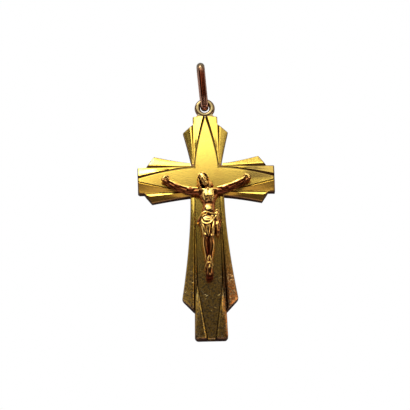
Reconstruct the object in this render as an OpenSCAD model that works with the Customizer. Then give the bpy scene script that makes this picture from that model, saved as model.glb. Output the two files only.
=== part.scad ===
// Crucifix pendant lying face up: a struck cross with a soldered eyelet, a cast figure and a bail.
// +Y runs towards the top of the cross, +X to its right arm as seen, +Z out of its face.
// The back of the cross and the lower leg of the bail lie on z = 0.

/* [Cross plate] */
// Height of the flat star panel above the back
panel_h = 1.25; // [1.1:0.05:1.6]
// Half width of the upright bar where the bars cross
upright_half = 1.92; // [1.7:0.02:2.1]
// Half height of the cross bar where the bars cross
crossbar_half = 2.08; // [1.9:0.02:2.3]
// Rise of a bar pleat's inner edge over the panel at the end of an arm
bar_rise = 0.28; // [0.1:0.02:0.35]
// Fall of a bar pleat's outer edge under the panel at the end of an arm
bar_fall = 0.12; // [0.05:0.01:0.2]
// Rise of a wing pleat's inner edge over the bar's edge at its tip
wing_rise = 0.24; // [0.1:0.02:0.3]
// Depth of a wing's outer edge under the panel at its root
wing_sink = 0.1; // [0.05:0.01:0.15]
// Further fall of that edge towards the wing's tip
wing_fall = 0.42; // [0.2:0.02:0.6]
// Width of the sloping step under each pleat's inner edge at the end of an arm
step_run = 0.26; // [0.16:0.02:0.3]
// Radius of the two corners at the foot of the stem
foot_corner = 0.6; // [0.2:0.05:0.7]

/* [Eyelet] */
// Distance of the eyelet's centre from the crossing
eyelet_y = 11.44; // [11.4:0.02:11.6]
// Height of the eyelet's centre above the back
eyelet_z = 0.95; // [0.9:0.01:1]
// Radius of the eyelet's wire
eyelet_wire = 0.43; // [0.38:0.01:0.44]
// Radius of the hole in the eyelet
eyelet_hole = 0.68; // [0.66:0.01:0.75]

/* [Bail] */
// Length of the loop from end to end
bail_length = 7.62; // [6.8:0.02:9]
// Radius of the loop's bend in the eyelet
near_bend = 0.95; // [0.9:0.01:1.1]
// Radius of the loop's wider bend for the chain
far_bend = 1.5; // [1.2:0.05:1.7]
// Width of the half-round strip
bail_width = 1.16; // [1:0.02:1.2]
// Thickness of the half-round strip at its middle
bail_thick = 0.38; // [0.3:0.02:0.4]
// Distance from the eyelet's centre to the loop's near end
bail_reach = 0.39; // [0.3:0.01:0.45]
// Lean of the bail away from the cross's axis, in degrees
bail_lean = 4.1; // [0:0.1:5]

/* [Figure] */
// Gap between the panel and the flat back of the figure
seat_gap = 0.02; // [0.01:0.01:0.1]
// Number of sides of the figure's rounded forms
figure_sides = 16; // [12:2:18]

/* [Hidden] */

// Columns of the arm table
ANGLE = 0;       // direction of the arm from the crossing, degrees
LENGTH = 1;      // crossing centre to the arm's end
ROOT = 2;        // half size of the crossing along the arm
BAR_IN = 3;      // half width of the bar at its root
BAR_END = 4;     // half width of the bar at its end
STAR_END = 5;    // half width of the star's ray at its end
SHOULDER = 6;    // share of the arm over which the ray keeps its width
STAR_CURVE = 7;  // exponent of the ray's taper
WING_ROOT = 8;   // distance of the wing's root from the crossing centre
WING_IN = 9;     // half width over the wings at their root
CORNER = 10;     // distance of the wing's outer corner
WING_OUT = 11;   // half width over the wings at that corner
TIP = 12;        // distance of the point where the wing meets the bar's side
WING_CURVE = 13; // exponent of the wing's outer edge
CORNER_R = 14;   // radius of the bar's end corners
WING_SOFT = 15;  // width over which the wing's outer corner is softened

STEM = [
    270, 25.5, crossbar_half, upright_half, 2.5, 0.58, 0.62, 1.1,
    2.5, 2.55, 19.1, 4.24, 21.1, 1.7, foot_corner, 0.35
];
RIGHT_OVER = [
    0, 10.25, upright_half, crossbar_half, 2.0, 0.26, 0, 1.35,
    2.42, 2.52, 7.9, 3.7, 9.0, 1.3, 0.12, 0.1
];
RIGHT_UNDER = [
    0, 10.25, upright_half, crossbar_half, 2.26, 0.26, 0, 1.35,
    2.42, 2.75, 8.25, 3.72, 9.2, 1.3, 0.12, 0.1
];
LEFT_OVER = [
    0, 10.45, upright_half, crossbar_half, 2.0, 0.26, 0, 1.35,
    2.42, 2.6, 7.9, 3.84, 9.1, 1.2, 0.12, 0.1
];
LEFT_UNDER = [
    0, 10.45, upright_half, crossbar_half, 2.2, 0.26, 0, 1.35,
    2.42, 2.8, 8.35, 3.68, 9.5, 1.2, 0.35, 0.1
];
TOP = [
    90, 10.1, crossbar_half, upright_half, 1.86, 0.03, 0, 1.35,
    2.4, 2.3, 7.6, 3.42, 8.75, 1.15, 0.12, 0.1
];

bar_steps = 10;       // sections along an arm
wing_steps = 8;       // sections along a wing's curved edge
corner_steps = 4;     // sections around an end corner
pleat_tuck = 0.25;    // depth by which a wing runs in under the bar
hair_gap = 0.03;      // least width of a step, at the root
crest_share = 0.6;    // most of a narrow wing's width that its step may take
figure_room = 20;     // half size of the space over the panel that the figure is kept to
plate_top = TOP[LENGTH];
stem_end = STEM[LENGTH];
seat_z = panel_h + seat_gap;

strip_r = (bail_width * bail_width / 4 + bail_thick * bail_thick) / (2 * bail_thick); // curve of the strip
leg = bail_length - near_bend - far_bend; // length of each straight leg
leg_rise = 2 * asin((far_bend - near_bend) / norm([leg, far_bend - near_bend])); // of the upper leg

function between(a, b, t) = a + (b - a) * t;
function share(a, u) = max(0, min(1, (u - a[ROOT]) / (a[LENGTH] - a[ROOT])));

// Half width of a bar at distance u, with its end corners rounded
function bar_edge(a, u) =
    let (w = between(a[BAR_IN], a[BAR_END], share(a, u)), r = a[CORNER_R], d = u - (a[LENGTH] - r))
    d <= 0 ? w : w - r + sqrt(max(0, r * r - d * d));

// Half width of a star ray at distance u
function star_edge(a, u) =
    let (s = max(0, (share(a, u) - a[SHOULDER]) / (1 - a[SHOULDER])))
    between(a[BAR_IN] - 2 * hair_gap, a[STAR_END], pow(s, a[STAR_CURVE]));

// Smaller of two widths, blended where they are nearly the same
function soft_least(a, b, soft) =
    let (h = max(0, soft - abs(a - b)))
    min(a, b) - h * h / (4 * soft);

// Half width over the wings at distance u: the long edge up to the outer corner, the short one beyond it
function wing_edge(a, u) =
    let (
        long_t = (u - a[WING_ROOT]) / (a[CORNER] - a[WING_ROOT]),
        short_t = (u - a[CORNER]) / (a[TIP] - a[CORNER])
    )
    soft_least(
        between(a[WING_IN], a[WING_OUT], pow(long_t, a[WING_CURVE])),
        between(a[WING_OUT], bar_edge(a, a[TIP]), short_t),
        a[WING_SOFT]
    );

// Height of the bar pleat's outer edge at distance u
function valley(a, u) = panel_h - bar_fall * share(a, u);

// Distances of a bar's sections, closer together round the larger of its two end corners
function bar_stations(over, under) =
    let (length = over[LENGTH], root = over[ROOT], r = max(over[CORNER_R], under[CORNER_R]))
    concat(
        [0],
        [for (i = [0 : bar_steps]) between(root, length - r, i / bar_steps)],
        [for (i = [1 : corner_steps]) length - r * (1 - sin(90 * i / corner_steps))]
    );

// Distances of a wing's sections, from its root past the corner to its tip
function wing_stations(a) = concat(
    [for (i = [0 : wing_steps]) between(a[WING_ROOT], a[CORNER] - a[WING_SOFT], i / wing_steps)],
    [a[CORNER], a[CORNER] + a[WING_SOFT] / 2, a[TIP] - hair_gap]
);

// Surface points across one half of a bar at distance u, from its middle to its side
function half_section(a, u) =
    let (t = share(a, u), s = star_edge(a, u), b = bar_edge(a, u))
    [
        [u, s, panel_h],
        [u, min(s + hair_gap + step_run * t, b - hair_gap / 2), panel_h + bar_rise * t],
        [u, b, valley(a, u)]
    ];

// Points across the whole bar, each half from a table of its own
function bar_section(over, under, u) =
    let (h = half_section(under, u))
    concat([for (i = [2 : -1 : 0]) [h[i].x, -h[i].y, h[i].z]], half_section(over, u));

// Surface points across a wing at distance u, from under the bar to the outer edge
function wing_section(a, u) =
    let (
        t = (u - a[WING_ROOT]) / (a[TIP] - a[WING_ROOT]),
        b = bar_edge(a, u),
        w = wing_edge(a, u),
        crest = min(b + hair_gap + step_run * t, between(b, w, crest_share))
    )
    [
        [u, b - pleat_tuck, valley(a, u) - pleat_tuck],
        [u, crest, valley(a, u) + wing_rise * t],
        [u, w, panel_h - wing_sink - wing_fall * t]
    ];

// Solid between a grid of surface points and the back plane
module relief(rows) {
    m = len(rows);
    n = len(rows[0]);
    k = m * n;
    surface = [for (row = rows) each row];
    back = [for (p = surface) [p.x, p.y, 0]];
    faces = concat(
        [for (i = [0 : m - 2], j = [0 : n - 2]) each [
            [i * n + j, i * n + j + 1, (i + 1) * n + j + 1],
            [i * n + j, (i + 1) * n + j + 1, (i + 1) * n + j],
            [k + i * n + j, k + (i + 1) * n + j + 1, k + i * n + j + 1],
            [k + i * n + j, k + (i + 1) * n + j, k + (i + 1) * n + j + 1]
        ]],
        [for (i = [0 : m - 2]) each [
            [k + i * n, i * n, (i + 1) * n, k + (i + 1) * n],
            [k + (i + 2) * n - 1, (i + 2) * n - 1, (i + 1) * n - 1, k + (i + 1) * n - 1]
        ]],
        [for (j = [0 : n - 2]) each [
            [k + j + 1, j + 1, j, k + j],
            [k + k - n + j, k - n + j, k - n + j + 1, k + k - n + j + 1]
        ]]
    );
    polyhedron(points = concat(surface, back), faces = faces);
}

// Bar with a wing on each side, each side from a table of its own
module arm(over, under) {
    rotate([0, 0, over[ANGLE]]) {
        relief([for (u = bar_stations(over, under)) bar_section(over, under, u)]);
        relief([for (u = wing_stations(over)) wing_section(over, u)]);
        mirror([0, 1, 0]) relief([for (u = wing_stations(under)) wing_section(under, u)]);
    }
}

// Block under the crossing that the four arms and eight wings grow from
module crossing_block() {
    linear_extrude(panel_h - wing_sink) polygon([
        [-STEM[WING_IN], -STEM[WING_ROOT]],
        [STEM[WING_IN], -STEM[WING_ROOT]],
        [TOP[WING_IN], TOP[WING_ROOT]],
        [-TOP[WING_IN], TOP[WING_ROOT]]
    ]);
}

module eyelet() {
    translate([0, eyelet_y, eyelet_z])
        rotate_extrude($fn = 64) translate([eyelet_hole + eyelet_wire, 0]) circle(eyelet_wire, $fn = 32);
}

// Solder that fills the corners between the eyelet and the end of the plate
module solder() {
    height = 0.7;
    root_half = 1.3;
    tip_half = 1.0;
    depth = 0.4;
    bite = 0.2;
    translate([0, plate_top, eyelet_z - height / 2]) linear_extrude(height) polygon([
        [-root_half, -bite],
        [root_half, -bite],
        [root_half, 0],
        [tip_half, depth],
        [-tip_half, depth],
        [-root_half, 0]
    ]);
}

module cross() {
    color("gold") {
        arm(STEM, STEM);
        arm(RIGHT_OVER, RIGHT_UNDER);
        mirror([1, 0, 0]) arm(LEFT_OVER, LEFT_UNDER);
        arm(TOP, TOP);
        crossing_block();
        difference() {
            union() {
                eyelet();
                solder();
            }
            translate([0, eyelet_y, 0]) cylinder(r = eyelet_hole, h = 2 * eyelet_z, $fn = 64);
        }
    }
}

// Segment of a circle: the section of the bail's half-round strip, its round side towards +X
module bail_section() {
    intersection() {
        translate([bail_thick - strip_r, 0]) circle(strip_r, $fn = 64);
        translate([0, -bail_width]) square(2 * bail_width);
    }
}

// Bend and the straight leg that leads into it, drawn with x along the loop and y up from the surface
module bend_and_leg(along, radius, start, sweep) {
    translate([along, radius, 0]) rotate([0, 0, start]) {
        rotate_extrude(angle = sweep, $fn = 96) translate([radius - bail_thick, 0]) bail_section();
        translate([radius - bail_thick, 0, 0]) rotate([90, 0, 0]) linear_extrude(leg) bail_section();
    }
}

module bail() {
    color("peru")
        translate([0, eyelet_y, 0])
            rotate([0, 0, bail_lean])
                translate([0, near_bend - bail_reach, 0])
                    rotate([90, 0, 90]) {
                        bend_and_leg(leg, far_bend, -90, 180 + leg_rise);
                        bend_and_leg(0, near_bend, 90 + leg_rise, 180 - leg_rise);
                    }
}

// Each row of a limb table is a form drawn round two or more balls, each [x, y, z, radius] in the
// cross's frame, with z measured from the figure's flat back
module limbs(table) {
    for (row = table) hull() for (end = row)
        translate([end[0], end[1], end[2]]) sphere(end[3], $fn = figure_sides);
}

HEAD = [
    [[-0.6, -0.32, 1.08, 0.68], [-0.22, -0.95, 1.05, 0.44]],   // skull to chin
    [[-0.75, -0.3, 0.75, 0.6], [-1.15, -1.35, 0.6, 0.4]],      // hair on the left
    [[-0.35, -0.3, 0.75, 0.6], [0.5, -1.35, 0.6, 0.42]],       // hair on the right
    [[-0.2, -1.2, 0.75, 0.4], [0.15, -2.1, 0.6, 0.48]]         // neck
];
TORSO = [
    // shoulders
    [[-1.5, -2.2, 0.55, 0.48], [0.1, -2.2, 0.6, 0.5], [1.6, -2.15, 0.55, 0.48]],
    // ribs
    [[-0.6, -2.6, 0.55, 0.66], [0.9, -2.6, 0.55, 0.66], [-0.3, -3.7, 0.5, 0.58], [0.65, -3.7, 0.5, 0.58]],
    // belly
    [[-0.3, -3.8, 0.4, 0.5], [0.65, -3.8, 0.4, 0.5], [-0.35, -5.2, 0.42, 0.56], [0.55, -5.2, 0.42, 0.56]],
    // hips
    [[-0.3, -5.1, 0.45, 0.6], [0.55, -5.1, 0.45, 0.6], [-0.6, -6.4, 0.45, 0.66], [0.45, -6.4, 0.45, 0.66]]
];
ARMS = [
    [[-1.5, -2.2, 0.58, 0.54], [-3.75, -1.74, 0.56, 0.52]],    // left upper arm
    [[-3.75, -1.74, 0.56, 0.52], [-6.1, -0.46, 0.48, 0.44]],   // left forearm
    [[-6.1, -0.46, 0.48, 0.44], [-6.66, 0, 0.46, 0.4]],        // left hand
    [[1.6, -2.12, 0.58, 0.54], [3.8, -1.42, 0.58, 0.54]],      // right upper arm
    [[3.8, -1.42, 0.58, 0.54], [5.85, -0.44, 0.5, 0.46]],      // right forearm
    [[5.85, -0.44, 0.5, 0.46], [6.32, -0.06, 0.46, 0.4]]       // right hand
];
LOINCLOTH = [
    [[-0.75, -6.6, 0.6, 0.76], [0.5, -6.4, 0.6, 0.74]],        // wrap round the hips
    [[-0.7, -7.8, 0.62, 0.7], [0.5, -7.8, 0.62, 0.7]],         // wrap over the thighs
    [[-0.35, -6.7, 0.95, 0.6], [0.3, -6.7, 0.95, 0.56], [-0.1, -7.5, 0.95, 0.56]],  // front fold
    [[-0.2, -8.2, 1.1, 0.38], [-0.1, -9.15, 1.1, 0.24]],       // hanging tip
    [[1.3, -5.8, 0.85, 0.36], [1.42, -7.2, 0.55, 0.4]],        // knot
    [[1.42, -7.2, 0.55, 0.4], [1.42, -9.1, 0.4, 0.3]]          // hanging ends
];
LEGS = [
    [[-0.6, -6.6, 0.58, 0.68], [-0.5, -9.6, 0.94, 0.42]],      // left thigh
    [[0.5, -6.6, 0.58, 0.66], [0.42, -9.8, 0.94, 0.42]],       // right thigh
    [[-0.5, -9.6, 0.94, 0.42], [-0.5, -10.6, 0.7, 0.44], [-0.3, -12.6, 0.42, 0.26]],  // left shin
    [[0.42, -9.8, 0.94, 0.42], [0.42, -10.8, 0.74, 0.44], [0.12, -12.7, 0.58, 0.27]], // right shin
    [[-0.05, -7.4, 0.5, 0.34], [-0.08, -12.2, 0.34, 0.24]],    // metal between the legs
    [[-0.32, -12.7, 0.42, 0.32], [0.02, -16.36, 0.4, 0.4]],    // left foot, behind
    [[0.18, -12.8, 0.6, 0.32], [-0.1, -15.3, 0.64, 0.42]]      // right foot, in front
];

module corpus() {
    color("sandybrown")
        translate([0, 0, seat_z])
            intersection() {
                union() {
                    limbs(HEAD);
                    limbs(TORSO);
                    limbs(ARMS);
                    limbs(LOINCLOTH);
                    limbs(LEGS);
                }
                translate([-figure_room, -figure_room, 0]) cube(2 * figure_room);
            }
}

// Middle of the whole width and length, which the frame puts at x = 0 and y = 0
middle_x = (RIGHT_OVER[LENGTH] - LEFT_OVER[LENGTH]) / 2;
bail_top = eyelet_y + (bail_length - bail_reach - strip_r) * cos(bail_lean) + strip_r;
middle_y = (bail_top - stem_end) / 2;

module framed() {
    translate([-middle_x, -middle_y, 0]) children();
}

framed() cross();
framed() corpus();
framed() bail();
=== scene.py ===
import math

import bpy
import numpy as np
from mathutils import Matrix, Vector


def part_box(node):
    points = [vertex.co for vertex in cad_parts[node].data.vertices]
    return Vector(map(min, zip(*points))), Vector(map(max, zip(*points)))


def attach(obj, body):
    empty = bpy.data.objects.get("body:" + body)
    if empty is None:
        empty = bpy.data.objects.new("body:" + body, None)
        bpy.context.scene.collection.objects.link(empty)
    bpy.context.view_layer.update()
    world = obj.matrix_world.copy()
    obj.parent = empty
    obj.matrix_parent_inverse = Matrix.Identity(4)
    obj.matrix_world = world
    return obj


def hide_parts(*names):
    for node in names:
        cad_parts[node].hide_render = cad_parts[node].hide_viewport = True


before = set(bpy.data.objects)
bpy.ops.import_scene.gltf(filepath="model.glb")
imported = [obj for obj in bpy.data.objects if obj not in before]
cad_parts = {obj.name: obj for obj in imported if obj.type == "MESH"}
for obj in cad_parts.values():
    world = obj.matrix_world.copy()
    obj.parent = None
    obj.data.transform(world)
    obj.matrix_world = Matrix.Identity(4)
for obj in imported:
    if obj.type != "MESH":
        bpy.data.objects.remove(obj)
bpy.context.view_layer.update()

import openvdb
from mathutils import Matrix, Vector

# Crucifix pendant lying face up on a white sheet. Lengths are millimetres in the cross's own frame:
# the crossing of the bars is at x = 0, y = 0, and z = 0 is the surface that the pendant lies on.

MM = 0.001
STEM_LENGTH, RIGHT_LENGTH = 25.5, 10.25
CROSS_LOW, CROSS_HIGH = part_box("cross")
CROSSING = np.array((CROSS_HIGH.x / MM - RIGHT_LENGTH, CROSS_LOW.y / MM + STEM_LENGTH, 0.0))


def between(a, b, t):
    return a + (b - a) * t


def clamped(value):
    return min(1.0, max(0.0, value))


def eased(value, start, stop):
    """0 before start, 1 past stop, and a soft change between them."""
    t = np.clip((value - start) / (stop - start), 0, 1)
    return t * t * (3 - 2 * t)


def linear(hex_colour):
    """Linear RGBA of an sRGB hex colour."""
    parts = [int(hex_colour[i:i + 2], 16) / 255 for i in (1, 3, 5)]
    return tuple(c / 12.92 if c <= 0.04045 else ((c + 0.055) / 1.055) ** 2.4 for c in parts) + (1.0,)


def linked(name, data):
    """New object in the scene."""
    obj = bpy.data.objects.new(name, data)
    bpy.context.scene.collection.objects.link(obj)
    return obj


# Camera: a long lens that looks down on the pendant from the foot of the stem, a little from the left

VIEW_DISTANCE = 600 * MM
VIEW_ELEVATION = 70.13
VIEW_AZIMUTH = -4.0
VIEW_ROLL = 2.52
VIEW_TARGET = Vector((-0.29, -0.66, 0.8)) * MM
PICTURE_WIDTH = 61.87 * MM
SENSOR = 36.0


def make_camera():
    data = bpy.data.cameras.new("camera")
    data.sensor_width = SENSOR
    data.lens = SENSOR * VIEW_DISTANCE / PICTURE_WIDTH
    data.clip_start = 0.05
    data.clip_end = 5.0
    azimuth, elevation, roll = (math.radians(v) for v in (VIEW_AZIMUTH, VIEW_ELEVATION, VIEW_ROLL))
    back = Vector((
        math.cos(elevation) * math.sin(azimuth),
        -math.cos(elevation) * math.cos(azimuth),
        math.sin(elevation),
    ))
    right = Vector((math.cos(azimuth), math.sin(azimuth), 0.0))
    up = back.cross(right)
    turned_right = right * math.cos(roll) + up * math.sin(roll)
    turned_up = up * math.cos(roll) - right * math.sin(roll)
    place = Matrix((turned_right, turned_up, back)).transposed().to_4x4()
    place.translation = VIEW_TARGET + back * VIEW_DISTANCE
    camera = linked("camera", data)
    camera.matrix_world = place
    bpy.context.scene.camera = camera


# Mesh and node helpers

def places_of(mesh, origin):
    """The mesh's points in millimetres from an origin in the cross's frame."""
    flat = np.empty(len(mesh.vertices) * 3)
    mesh.vertices.foreach_get("co", flat)
    return flat.reshape(-1, 3) / MM - CROSSING - origin


def keep_wear_and_painted_light(mesh, *shares):
    """Keeps up to three shares from 0 to 1 for each point, which a finish reads as red, green and blue."""
    corners = np.empty(len(mesh.loops), int)
    mesh.loops.foreach_get("vertex_index", corners)
    values = np.ones((len(corners), 4))
    for channel, worn_and_painted in enumerate(shares):
        values[:, channel] = np.broadcast_to(worn_and_painted, len(mesh.vertices))[corners]
    mesh.attributes.new("wear_and_painted_light", "FLOAT_COLOR", "CORNER").data.foreach_set("color", values.ravel())


def mesh_object(name, points, faces, wear_and_painted_light=()):
    """Object with a mesh of points in millimetres of the cross's frame."""
    mesh = bpy.data.meshes.new(name)
    placed = (np.asarray(points, float) + CROSSING) * MM
    mesh.from_pydata(placed.tolist(), [], [list(map(int, f)) for f in faces])
    if wear_and_painted_light:
        keep_wear_and_painted_light(mesh, *wear_and_painted_light)
    return linked(name, mesh)


def plain_mesh(obj):
    """New mesh of the object as its modifiers make it."""
    graph = bpy.context.evaluated_depsgraph_get()
    graph.update()
    return bpy.data.meshes.new_from_object(obj.evaluated_get(graph))


def joined(name, parts):
    """One closed solid from overlapping closed solids."""
    first = parts[0]
    for other in parts[1:]:
        union = first.modifiers.new("union", "BOOLEAN")
        union.operation = "UNION"
        union.solver = "MANIFOLD"
        union.object = other
    mesh = plain_mesh(first)
    first.modifiers.clear()
    old = first.data
    first.data = mesh
    bpy.data.meshes.remove(old)
    for other in parts[1:]:
        bpy.data.objects.remove(other)
    first.name = mesh.name = name
    mesh.polygons.foreach_set("use_smooth", np.ones(len(mesh.polygons), bool))
    return first


def add(tree, kind, settings=None, links=None):
    """Adds a node. Settings are its properties or inputs, links are inputs fed by another node's output."""
    node = tree.nodes.new(kind)
    for key, value in (settings or {}).items():
        if isinstance(key, str) and hasattr(node, key):
            setattr(node, key, value)
        else:
            node.inputs[key].default_value = value
    for key, output in (links or {}).items():
        tree.links.new(output, node.inputs[key])
    return node


# Cross plate: the same arm tables as the solid's source, with finer sections and rounded edges

PANEL = 1.25                       # height of the flat star panel above the back
BAR_RISE, BAR_FALL = 0.28, 0.12    # of a bar pleat's inner and outer edge, at the end of an arm
WING_RISE, WING_FALL = 0.24, 0.42  # of a wing pleat's inner and outer edge, at its tip
WING_SINK = 0.1                    # depth of a wing's outer edge under the panel, at its root
STEP_RUN = 0.26                    # width of the sloping step under each pleat's inner edge
HAIR = 0.03                        # least width of a step
TUCK = 0.25                        # depth by which a wing runs in under the bar
GROOVE = 0.035                     # depth of the pressed lines
BLOCK_SINK = 0.1                   # of the plain metal in the middle, so that it stays under the relief
PANEL_EDGE = 0.06                  # narrow strip beside a line, which keeps the panel's shading flat
EDGE_ROUND, BACK_ROUND = 0.16, 0.1
EDGE_START = 0.25                  # length past a wing over which the bar's edge grows round
SPACING = 0.45                     # between the sections along an arm
FACET_ANGLE = 14                   # sharper edges than this stay crisp, in degrees

# What an arm's table holds. Distances are along the arm from the crossing, half widths from its middle.
# length, root: where the arm ends, and where it leaves the crossing.
# bar_in, bar_end, corner_r: half widths of the bar at its root and end, radius of its end corners.
# ray_end, shoulder, ray_curve: half width of the star's ray at its end, share of the arm over which
# the ray keeps its width, exponent of its taper.
# wing_root, wing_in: where the wing starts, and the half width over the wings there.
# corner, wing_out, tip: the wing's outer corner, the half width there, and where it meets the bar.
# wing_curve, wing_soft: exponent of the wing's outer edge, width over which its corner is softened.
# end_round: radius of the rounded edge at the arm's end.
# line, root_line: width of the line round the ray, painted dark as shade, at the end of the arm and at its
# root.
# ray_dark, wing_dark: painted shade on the step up to the bar's crest, and on the step up to the wing's.
# valley, foot_power: width of the pleat's flat foot, and how late painted shade darkens it towards the bar's
# edge.
# end_dark, wing_rim: painted shade on the arm's rounded end and on the wing's rounded edge.
# crest_band, crest_slope: width and slope of the narrow facet along the wing's crest.

STEM_LEFT = dict(
    length=STEM_LENGTH, root=2.08, bar_in=1.92, bar_end=2.5, corner_r=0.6,
    ray_end=0.58, shoulder=0.62, ray_curve=1.1,
    wing_root=2.5, wing_in=2.55, corner=19.1, wing_out=4.24, tip=21.1, wing_curve=1.7, wing_soft=0.35,
    end_round=0.24, line=0.09, root_line=0.09, ray_dark=0.1, wing_dark=0.0,
    valley=0.16, foot_power=3, end_dark=0.0, wing_rim=0.0, crest_band=0.22, crest_slope=-0.09,
)
# the right side of the stem takes more painted shade on its step and pleat than the left
STEM_RIGHT = dict(STEM_LEFT, ray_dark=0.6, wing_dark=1.0)
# the upper halves of the side arms take strong painted shade on their lines, steps and wing edges, the lower
# halves little; the rounded ends of both are painted dark as shade
RIGHT_OVER = dict(
    length=RIGHT_LENGTH, root=1.92, bar_in=2.08, bar_end=2.0, corner_r=0.12,
    ray_end=0.26, shoulder=0.0, ray_curve=1.35,
    wing_root=2.42, wing_in=2.52, corner=7.9, wing_out=3.7, tip=9.0, wing_curve=1.3, wing_soft=0.1,
    end_round=0.2, line=0.15, root_line=0.46, ray_dark=0.9, wing_dark=0.8,
    valley=0.28, foot_power=1.0, end_dark=0.9, wing_rim=1.0, crest_band=0.22, crest_slope=-0.09,
)
RIGHT_UNDER = dict(
    RIGHT_OVER, bar_end=2.26, wing_in=2.75, corner=8.25, wing_out=3.72, tip=9.2,
    line=0.09, root_line=0.09, ray_dark=0.1, wing_dark=0.0,
    valley=0.16, foot_power=3, wing_rim=0.0, crest_band=0.32, crest_slope=0.2,
)
LEFT_OVER = dict(RIGHT_OVER, length=10.45, wing_in=2.6, wing_out=3.84, tip=9.1, wing_curve=1.2)
LEFT_UNDER = dict(
    RIGHT_UNDER, length=10.45, bar_end=2.2, wing_in=2.8, corner=8.35, wing_out=3.68, tip=9.5,
    wing_curve=1.2, corner_r=0.35,
)
TOP = dict(
    length=10.1, root=2.08, bar_in=1.92, bar_end=1.86, corner_r=0.12,
    ray_end=0.03, shoulder=0.0, ray_curve=1.35,
    wing_root=2.4, wing_in=2.3, corner=7.6, wing_out=3.42, tip=8.75, wing_curve=1.15, wing_soft=0.1,
    end_round=0.14, line=0.2, root_line=0.26, ray_dark=0.7, wing_dark=0.5,
    valley=0.16, foot_power=2, end_dark=0.4, wing_rim=0.5, crest_band=0.22, crest_slope=-0.09,
)


def share(arm, u):
    """0 where the arm leaves the crossing, 1 at its end."""
    return clamped((u - arm["root"]) / (arm["length"] - arm["root"]))


def bar_edge(arm, u):
    width = between(arm["bar_in"], arm["bar_end"], share(arm, u))
    r = arm["corner_r"]
    d = u - (arm["length"] - r)
    return width if d <= 0 else width - r + math.sqrt(max(0.0, r * r - d * d))


def ray_edge(arm, u):
    s = max(0.0, (share(arm, u) - arm["shoulder"]) / (1 - arm["shoulder"]))
    return between(arm["bar_in"] - 2 * HAIR, arm["ray_end"], s ** arm["ray_curve"])


def wing_long_edge(arm, u):
    long_t = max(0.0, (u - arm["wing_root"]) / (arm["corner"] - arm["wing_root"]))
    return between(arm["wing_in"], arm["wing_out"], long_t ** arm["wing_curve"])


def wing_edge(arm, u):
    """The long edge up to the outer corner, the short one beyond it, softened where they meet."""
    short_t = (u - arm["corner"]) / (arm["tip"] - arm["corner"])
    long_edge = wing_long_edge(arm, u)
    short_edge = between(arm["wing_out"], bar_edge(arm, arm["tip"]), short_t)
    h = max(0.0, arm["wing_soft"] - abs(long_edge - short_edge))
    return min(long_edge, short_edge) - h * h / (4 * arm["wing_soft"])


def wing_slant(arm, u):
    """Cosine of the angle between the wing's outer edge and its arm."""
    step = 0.05
    rise = (wing_edge(arm, u + step) - wing_edge(arm, u - step)) / (2 * step)
    return 1 / math.hypot(1, rise)


def valley(arm, u):
    """Height of the foot of the bar's pleat, where the wing begins."""
    return PANEL - BAR_FALL * share(arm, u)


def rounded_off(height, distance, radius):
    """Height of a surface where its rounded outer edge is a given distance away."""
    if distance >= radius or radius <= 0:
        return height
    d = radius - max(0.0, distance)
    return height - (radius - math.sqrt(max(0.0, radius * radius - d * d)))


def rim_share(distance, radius):
    """1 at the plate's side wall, 0 where its rounded edge begins."""
    return 0.0 if radius <= 0 else clamped(1 - distance / radius) ** 0.5


def stations(start, stop, spacing):
    count = max(1, math.ceil((stop - start) / spacing))
    return [between(start, stop, i / count) for i in range(count)]


def end_stations(length, radius, steps=7):
    """Stations that draw closer together towards a rounded end."""
    return [length - radius * (1 - math.sin(math.pi / 2 * i / steps)) for i in range(steps + 1)]


def half_bar(arm, u):
    """(distance from the middle, height, painted shade) across one half of a bar."""
    t = share(arm, u)
    s, b = ray_edge(arm, u), bar_edge(arm, u)
    crest = min(s + HAIR + STEP_RUN * t, b - HAIR / 2)
    top, low = PANEL + BAR_RISE * t, valley(arm, u)
    pleat = b - crest
    line = between(arm["root_line"], arm["line"], min(1.0, 1.5 * t))
    half = [
        # the panel, and the pressed line along its edge, painted dark as shade
        (max(0.0, s - line - PANEL_EDGE), PANEL, 0.0),
        (max(0.0, s - line), PANEL, 0.0),
        (max(0.0, s - 0.6 * line), PANEL - 0.2 * GROOVE, 0.8),
        (s, PANEL - GROOVE, 1.0),
        # the step up to the crest, painted dark as shade, and the crest's own narrow rounding
        (between(s, crest, 0.3), between(PANEL - GROOVE, top, 0.3), 0.9),
        (between(s, crest, 0.88), between(PANEL - GROOVE, top, 0.88), arm["ray_dark"]),
        (crest + 0.02 * t, top - 0.004, 0.0),
        (crest + min(0.05, 0.3 * pleat) * t + 0.002, between(top, low, 0.03), 0.0),
    ]
    start = half[-1][0]
    edge = max(start + 0.001, b - arm["valley"])
    # the pleat falls to its foot, and on the stem it takes painted shade where it is still narrow
    painted_pleat_shade = 0.0
    if arm["shoulder"]:
        painted_pleat_shade = arm["wing_dark"] * clamped(4 * t - 2) * clamped(1.6 - pleat / 0.8)
    half += [(between(start, edge, k), between(top, low, 0.03 + 0.92 * k), painted_pleat_shade) for k in (0.33, 0.66, 1.0)]
    # painted shade at the pleat's foot, darkest at the bar's edge
    foot = min(1.0, 0.4 + t) if u < arm["tip"] else 0.0
    half += [(between(edge, b, k), low, foot * k ** arm["foot_power"]) for k in (0.3, 0.55, 0.75, 0.9, 1.0)]
    return half


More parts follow.
